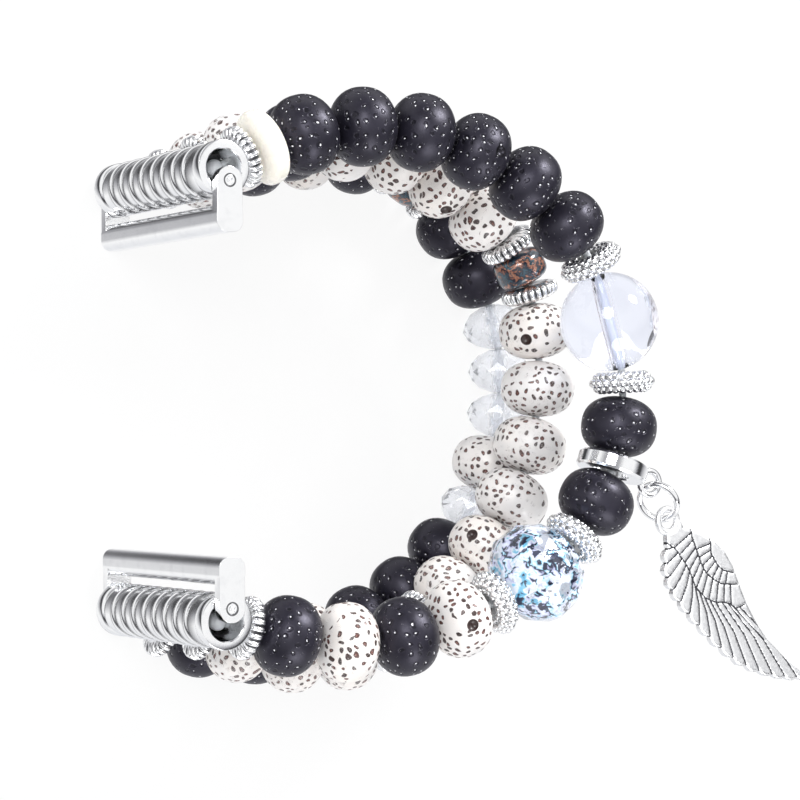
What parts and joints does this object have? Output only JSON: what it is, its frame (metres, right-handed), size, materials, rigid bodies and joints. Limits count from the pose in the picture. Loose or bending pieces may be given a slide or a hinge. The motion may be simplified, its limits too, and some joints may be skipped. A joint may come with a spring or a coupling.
{
  "type": "beaded watch band",
  "caption": "Beaded elastic watch band: strands of seed, glass and silver beads between hinged sleeve adapters for a watch case, with a wing charm.",
  "frame": {"origin": "middle of the seat that the watch case fills, midway between the two slot inserts", "axes": "+X from the watch into the wrist loop, +Y along the watch towards the upper adapter, +Z across the wrist, up when the band lies on its side"},
  "size_m": [0.086, 0.0713, 0.0335],
  "materials": {
    "bright_silver": "polished",
    "antique_silver": "oxidised recesses under polished high spots",
    "charm_silver": "satin plated with dark engraved lines",
    "dyed_seed": "satin polished, pitted",
    "white_seed": "satin polished, with small brown pits",
    "cream_shell": "smooth satin",
    "crystal": "clear polished",
    "blue_glass": "faceted, foil lined",
    "dark_glass": "faceted, metallic",
    "elastic": "clear elastic cord"
  },
  "bodies": {
    "upper_band": {"upper_sleeve": "bright_silver", "front_cord": "elastic", "middle_cord": "elastic", "back_cord": "elastic", "middle_upper_spacer": "antique_silver", "middle_upper_whites": "white_seed", "middle_upper_black": "dyed_seed", "back_upper_spacers": "antique_silver", "back_upper_whites": "white_seed", "back_upper_blacks": "dyed_seed", "back_upper_drum": "dark_glass"},
    "far_band": {"middle_far_spacers": "antique_silver", "middle_far_drum": "dark_glass", "middle_far_whites": "white_seed", "back_far_black": "dyed_seed", "back_far_crystals": "crystal", "back_far_white": "white_seed"},
    "lower_band": {"lower_sleeve": "bright_silver", "middle_lower_whites": "white_seed", "middle_lower_spacers": "antique_silver", "middle_lower_drum": "dark_glass", "back_lower_blacks": "dyed_seed", "back_lower_white": "white_seed", "back_lower_spacer": "antique_silver"},
    "upper_lug": {"upper_lug": "bright_silver", "upper_pin": "bright_silver"},
    "lower_lug": {"lower_lug": "bright_silver", "lower_pin": "bright_silver"},
    "front_top_spacer": {"front_top_spacer": "antique_silver"},
    "cream_disc": {"cream_disc": "cream_shell"},
    "front_black_1": {"front_black_1": "dyed_seed"},
    "front_black_2": {"front_black_2": "dyed_seed"},
    "front_black_3": {"front_black_3": "dyed_seed"},
    "front_black_4": {"front_black_4": "dyed_seed"},
    "front_black_5": {"front_black_5": "dyed_seed"},
    "front_black_6": {"front_black_6": "dyed_seed"},
    "grain_spacer_1": {"grain_spacer_1": "antique_silver"},
    "crystal_ball": {"crystal_ball": "crystal"},
    "grain_spacer_2": {"grain_spacer_2": "antique_silver"},
    "front_black_7": {"front_black_7": "dyed_seed"},
    "bail": {"bail": "bright_silver"},
    "front_black_8": {"front_black_8": "dyed_seed"},
    "grain_spacer_3": {"grain_spacer_3": "antique_silver"},
    "blue_glass": {"blue_glass": "blue_glass"},
    "grain_spacer_4": {"grain_spacer_4": "antique_silver"},
    "front_white_1": {"front_white_1": "white_seed"},
    "front_black_9": {"front_black_9": "dyed_seed"},
    "front_white_2": {"front_white_2": "white_seed"},
    "front_black_10": {"front_black_10": "dyed_seed"},
    "front_bottom_spacer": {"front_bottom_spacer": "antique_silver"},
    "jump_ring": {"jump_ring": "bright_silver"},
    "wing_charm": {"wing_charm": "charm_silver"}
  },
  "joints": [
    {"name": "upper_flex", "type": "hinge", "parent": "upper_band", "child": "far_band", "pos_m": [0.0446, 0.0198, 0], "axis": [0, 0, -1], "range_deg": [-4, 12], "deforming": ["front_cord", "middle_cord", "back_cord"]},
    {"name": "lower_flex", "type": "hinge", "parent": "far_band", "child": "lower_band", "pos_m": [0.0445, -0.0158, 0], "axis": [0, 0, -1], "range_deg": [-4, 12], "deforming": ["front_cord", "middle_cord", "back_cord"]},
    {"name": "upper_lug_swing", "type": "hinge", "parent": "upper_band", "child": "upper_lug", "pos_m": [0, 0.02338, 0], "axis": [0, 0, 1], "range_deg": [-60, 40]},
    {"name": "lower_lug_swing", "type": "hinge", "parent": "lower_band", "child": "lower_lug", "pos_m": [0, -0.02338, 0], "axis": [0, 0, -1], "range_deg": [-60, 40]},
    {"name": "front_top_spacer_spin", "type": "hinge", "parent": "upper_band", "child": "front_top_spacer", "pos_m": [0.00414, 0.02669, 0.00986], "axis": [0.9071, 0.4172, 0.0563], "continuous": true},
    {"name": "cream_disc_spin", "type": "hinge", "parent": "upper_band", "child": "cream_disc", "pos_m": [0.00678, 0.02788, 0.01002], "axis": [0.9138, 0.4021, 0.0565], "continuous": true},
    {"name": "front_black_1_spin", "type": "hinge", "parent": "upper_band", "child": "front_black_1", "pos_m": [0.01193, 0.0296, 0.01034], "axis": [0.9598, 0.2744, 0.0592], "continuous": true},
    {"name": "front_black_2_spin", "type": "hinge", "parent": "upper_band", "child": "front_black_2", "pos_m": [0.0194, 0.03089, 0.0108], "axis": [0.996, 0.065, 0.0606], "continuous": true},
    {"name": "front_black_3_spin", "type": "hinge", "parent": "upper_band", "child": "front_black_3", "pos_m": [0.02696, 0.03062, 0.0113], "axis": [0.9881, -0.1366, 0.0704], "continuous": true},
    {"name": "front_black_4_spin", "type": "hinge", "parent": "upper_band", "child": "front_black_4", "pos_m": [0.0343, 0.02875, 0.01177], "axis": [0.9348, -0.3508, 0.0547], "continuous": true},
    {"name": "front_black_5_spin", "type": "hinge", "parent": "upper_band", "child": "front_black_5", "pos_m": [0.04104, 0.02532, 0.01213], "axis": [0.8334, -0.5515, 0.0377], "continuous": true},
    {"name": "front_black_6_spin", "type": "hinge", "parent": "far_band", "child": "front_black_6", "pos_m": [0.04684, 0.02045, 0.01236], "axis": [0.6865, -0.7268, 0.0238], "continuous": true},
    {"name": "grain_spacer_1_spin", "type": "hinge", "parent": "far_band", "child": "grain_spacer_1", "pos_m": [0.05029, 0.01626, 0.01248], "axis": [0.5114, -0.8592, 0.0165], "continuous": true},
    {"name": "crystal_ball_spin", "type": "hinge", "parent": "far_band", "child": "crystal_ball", "pos_m": [0.05289, 0.00914, 0.01255], "axis": [0.2921, -0.9563, 0.0077], "continuous": true},
    {"name": "grain_spacer_2_spin", "type": "hinge", "parent": "far_band", "child": "grain_spacer_2", "pos_m": [0.05471, 0.00178, 0.0126], "axis": [0.0555, -0.9985, 0.0008], "continuous": true},
    {"name": "front_black_7_spin", "type": "hinge", "parent": "far_band", "child": "front_black_7", "pos_m": [0.0542, -0.00362, 0.01258], "axis": [-0.162, -0.9868, -0.005], "continuous": true},
    {"name": "bail_swing", "type": "hinge", "parent": "far_band", "child": "bail", "pos_m": [0.05318, -0.0084, 0.01255], "axis": [0.3485, 0.9373, 0.0103], "range_deg": [-40, 60]},
    {"name": "front_black_8_spin", "type": "hinge", "parent": "far_band", "child": "front_black_8", "pos_m": [0.05076, -0.01264, 0.01248], "axis": [-0.5403, -0.8414, -0.0158], "continuous": true},
    {"name": "grain_spacer_3_spin", "type": "hinge", "parent": "far_band", "child": "grain_spacer_3", "pos_m": [0.04752, -0.01698, 0.01239], "axis": [-0.7136, -0.7002, -0.0205], "continuous": true},
    {"name": "blue_glass_spin", "type": "hinge", "parent": "lower_band", "child": "blue_glass", "pos_m": [0.04202, -0.02089, 0.01223], "axis": [-0.8451, -0.5341, -0.0243], "continuous": true},
    {"name": "grain_spacer_4_spin", "type": "hinge", "parent": "lower_band", "child": "grain_spacer_4", "pos_m": [0.03615, -0.02422, 0.01206], "axis": [-0.9281, -0.3715, -0.0244], "continuous": true},
    {"name": "front_white_1_spin", "type": "hinge", "parent": "lower_band", "child": "front_white_1", "pos_m": [0.03118, -0.02593, 0.01192], "axis": [-0.9521, -0.3046, -0.0279], "continuous": true},
    {"name": "front_black_9_spin", "type": "hinge", "parent": "lower_band", "child": "front_black_9", "pos_m": [0.02398, -0.02765, 0.01162], "axis": [-0.9855, -0.1611, -0.0529], "continuous": true},
    {"name": "front_white_2_spin", "type": "hinge", "parent": "lower_band", "child": "front_white_2", "pos_m": [0.01664, -0.02803, 0.011], "axis": [-0.9917, 0.057, -0.1156], "continuous": true},
    {"name": "front_black_10_spin", "type": "hinge", "parent": "lower_band", "child": "front_black_10", "pos_m": [0.00933, -0.02703, 0.01027], "axis": [-0.9748, 0.2083, -0.0796], "continuous": true},
    {"name": "front_bottom_spacer_spin", "type": "hinge", "parent": "lower_band", "child": "front_bottom_spacer", "pos_m": [0.0044, -0.02593, 0.00989], "axis": [-0.9688, 0.2396, -0.0627], "continuous": true},
    {"name": "jump_ring_swing", "type": "hinge", "parent": "bail", "child": "jump_ring", "pos_m": [0.05875, -0.01048, 0.01255], "axis": [0, 0, 1], "range_deg": [-25, 45]},
    {"name": "wing_swing", "type": "hinge", "parent": "jump_ring", "child": "wing_charm", "pos_m": [0.06145, -0.01515, 0.01255], "axis": [0, 0, 1], "range_deg": [-25, 45]}
  ]
}
